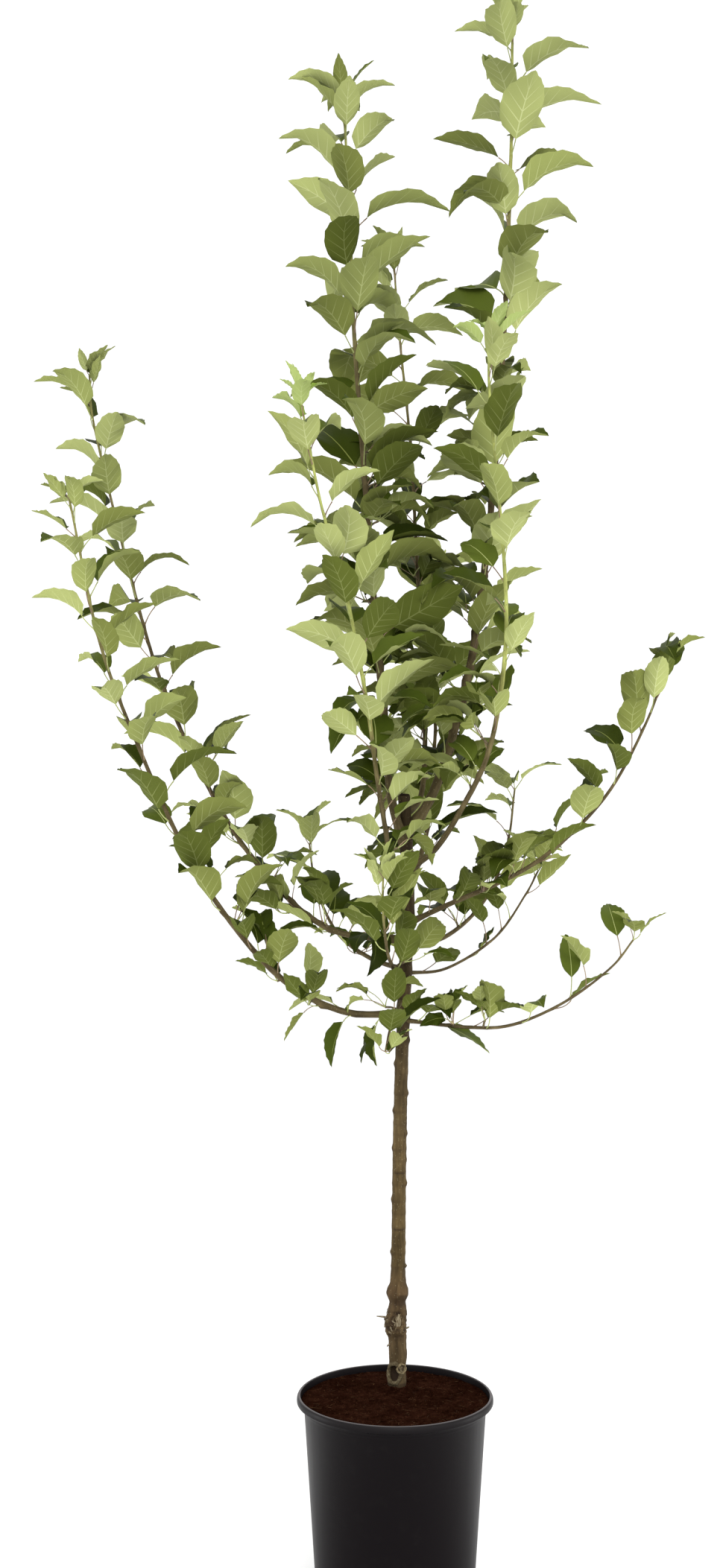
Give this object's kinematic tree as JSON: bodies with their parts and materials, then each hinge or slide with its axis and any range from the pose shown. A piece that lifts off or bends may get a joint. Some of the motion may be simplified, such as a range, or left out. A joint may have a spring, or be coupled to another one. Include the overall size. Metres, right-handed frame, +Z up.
{
  "type": "potted apple tree",
  "caption": "Young fruit tree with a slender straight trunk, upright leafy leaders and low spreading boughs, growing in a round nursery pot.",
  "frame": {"origin": "centre of the pot's flat underside", "axes": "+Z up along the tree, +X across it to its right as seen from the front, +Y to its back"},
  "size_m": [0.8906, 0.6361, 2.1797],
  "materials": {
    "bark": "matte",
    "foliage": "satin",
    "pot_plastic": "satin",
    "soil": "matte"
  },
  "bodies": {
    "root": {"bough_back": "bark", "bough_back_left": "bark", "bough_back_right": "bark", "bough_front": "bark", "bough_inner_left": "bark", "bough_low_left": "bark", "bough_low_right": "bark", "bough_mid_right": "bark", "bough_near_right": "bark", "bough_small_right": "bark", "foliage_back_1": "foliage", "foliage_back_2": "foliage", "foliage_back_left_1": "foliage", "foliage_back_right_1": "foliage", "foliage_front_1": "foliage", "foliage_front_2": "foliage", "foliage_front_3": "foliage", "foliage_inner_left_1": "foliage", "foliage_inner_left_2": "foliage", "foliage_inner_left_3": "foliage", "foliage_leader_left_1": "foliage", "foliage_leader_left_2": "foliage", "foliage_leader_left_3": "foliage", "foliage_leader_left_4": "foliage", "foliage_leader_middle_1": "foliage", "foliage_leader_middle_2": "foliage", "foliage_leader_middle_3": "foliage", "foliage_leader_right_1": "foliage", "foliage_leader_right_2": "foliage", "foliage_leader_right_3": "foliage", "foliage_leader_right_4": "foliage", "foliage_low_left_1": "foliage", "foliage_low_left_2": "foliage", "foliage_low_left_3": "foliage", "foliage_low_right_1": "foliage", "foliage_low_right_2": "foliage", "foliage_mid_right_1": "foliage", "foliage_mid_right_2": "foliage", "foliage_near_right_1": "foliage", "foliage_near_right_2": "foliage", "foliage_near_right_3": "foliage", "foliage_small_right_1": "foliage", "foliage_spur_front_1": "foliage", "foliage_spur_low_1": "foliage", "leader_left": "bark", "leader_middle": "bark", "leader_right": "bark", "pot": "pot_plastic", "soil": "soil", "spur_front": "bark", "spur_low": "bark", "trunk": "bark"}
  },
  "joints": []
}
